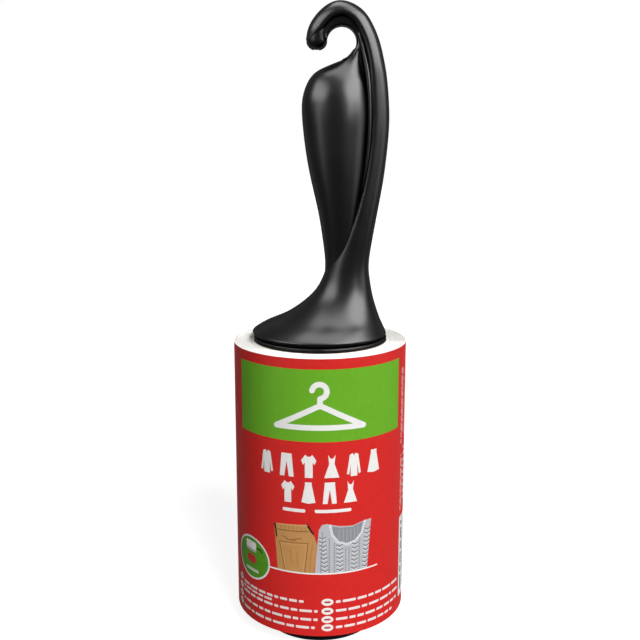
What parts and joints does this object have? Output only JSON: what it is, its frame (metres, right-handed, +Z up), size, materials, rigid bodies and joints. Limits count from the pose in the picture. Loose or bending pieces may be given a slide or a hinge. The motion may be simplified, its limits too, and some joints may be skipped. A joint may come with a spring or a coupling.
{
  "type": "lint roller",
  "caption": "Hand-held lint roller: a hook-ended two-half handle with a keyed spindle, a ribbed drum that turns on it, and a slip-off refill of wound adhesive sheets in a printed wrap.",
  "frame": {"origin": "centre of the foot's underside, on the roll's axis, bottom centre of the whole box", "axes": "+Z up the roll's axis towards the handle, +X towards the handle's outer side, away from the hook's mouth, -Y out of the front half, the side with the printed wrap's front"},
  "size_m": [0.062, 0.062, 0.2247],
  "materials": {
    "handle": "satin gloss black",
    "drum_black": "fine matt black",
    "shaft": "natural white",
    "core": "raw grey-brown board",
    "strip": "white, cut edges",
    "sheet": "white, tacky outside",
    "wrap": "coated, printed red"
  },
  "bodies": {
    "handle": {"handle_front_half": "handle", "handle_back_half": "handle", "spindle": "shaft"},
    "drum": {"roller_drum": "drum_black", "drum_flange": "drum_black", "drum_foot": "drum_black"},
    "refill": {"core_tube": "core", "wound_sheets": "strip", "outer_sheet": "sheet", "printed_wrap": "wrap"}
  },
  "joints": [
    {"name": "roll_spin", "type": "hinge", "parent": "handle", "child": "drum", "pos_m": [0, 0, 0.05], "axis": [0, 0, 1], "continuous": true},
    {"name": "refill_slide", "type": "slide", "parent": "drum", "child": "refill", "axis": [0, 0, -1], "range_m": [0, 0.11]}
  ]
}
